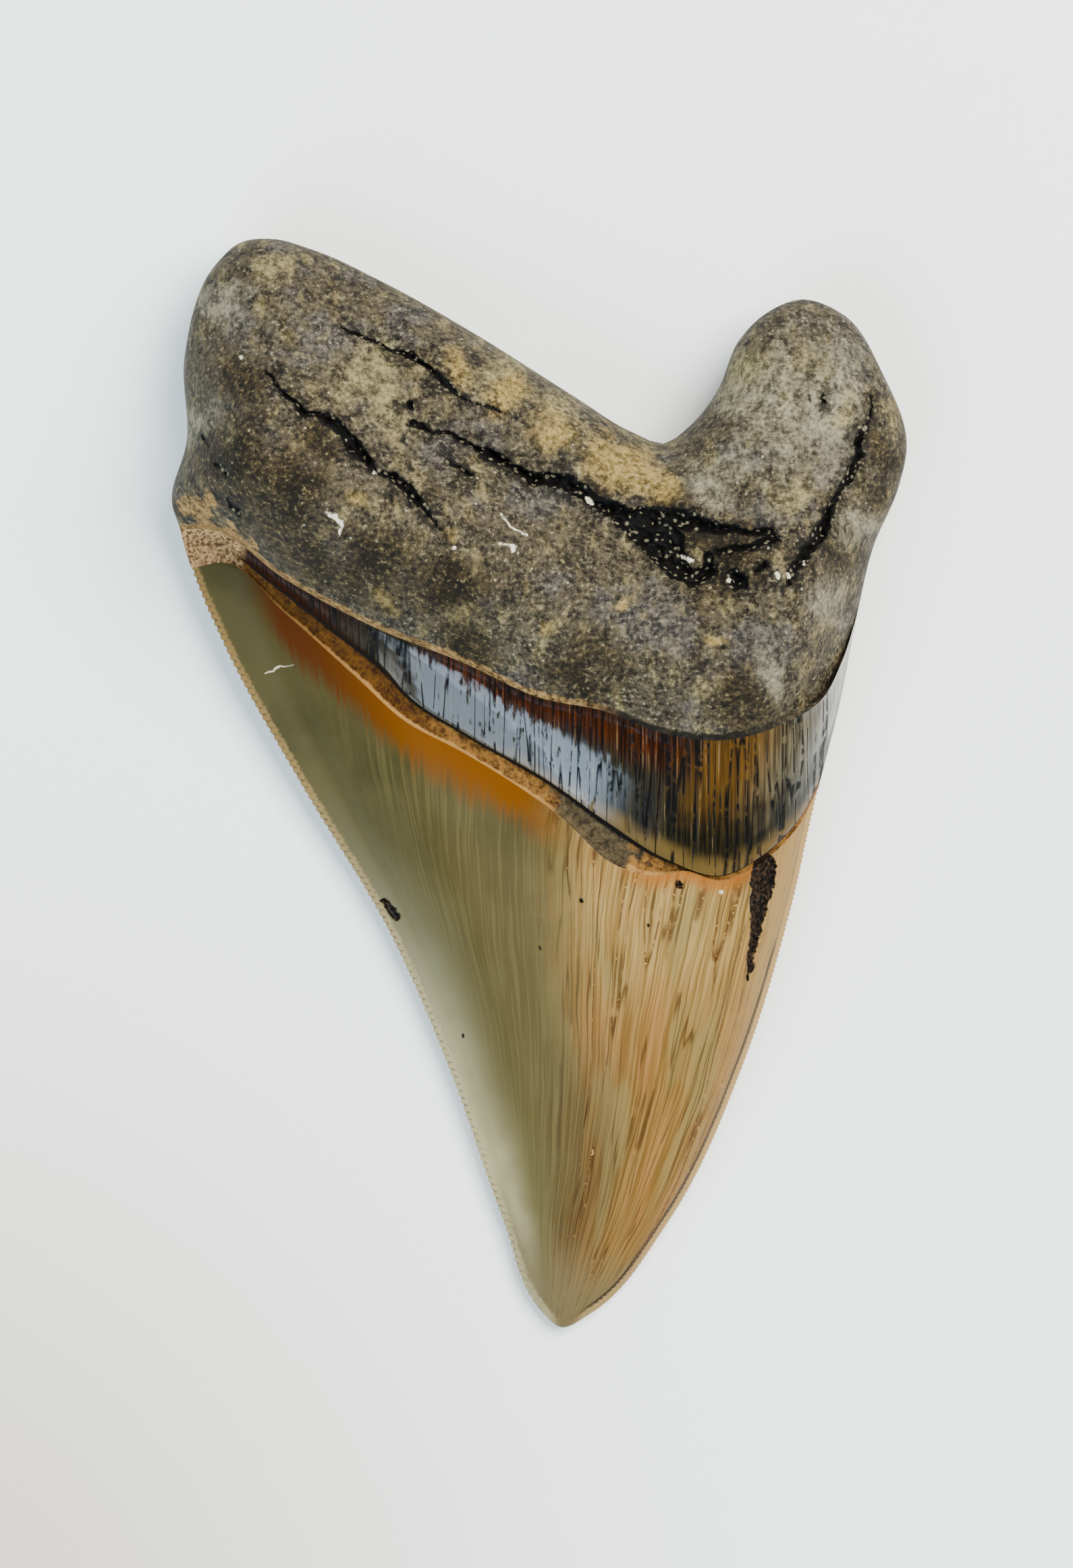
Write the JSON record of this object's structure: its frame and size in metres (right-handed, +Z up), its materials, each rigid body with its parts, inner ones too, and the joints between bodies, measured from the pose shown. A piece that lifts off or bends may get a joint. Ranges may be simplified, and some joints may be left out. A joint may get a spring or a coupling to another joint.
{
  "type": "megalodon tooth",
  "caption": "fossil megalodon tooth with a cracked two-lobed root, a dark glossy bourlette and a long serrated triangular crown bent to one side",
  "frame": {"origin": "middle of the bounding box in plan, at the height of the table the tooth lies on", "axes": "+Z up and out of the lingual face; +Y from the crown's tip towards the root; +X to the right as seen from above"},
  "size_m": [0.0816, 0.121, 0.0246],
  "materials": {
    "fossil": "granular matte root, glossy dark bourlette and smooth worn enamel, as one mineralised piece"
  },
  "bodies": {
    "root": {"tooth": "fossil"}
  },
  "joints": []
}
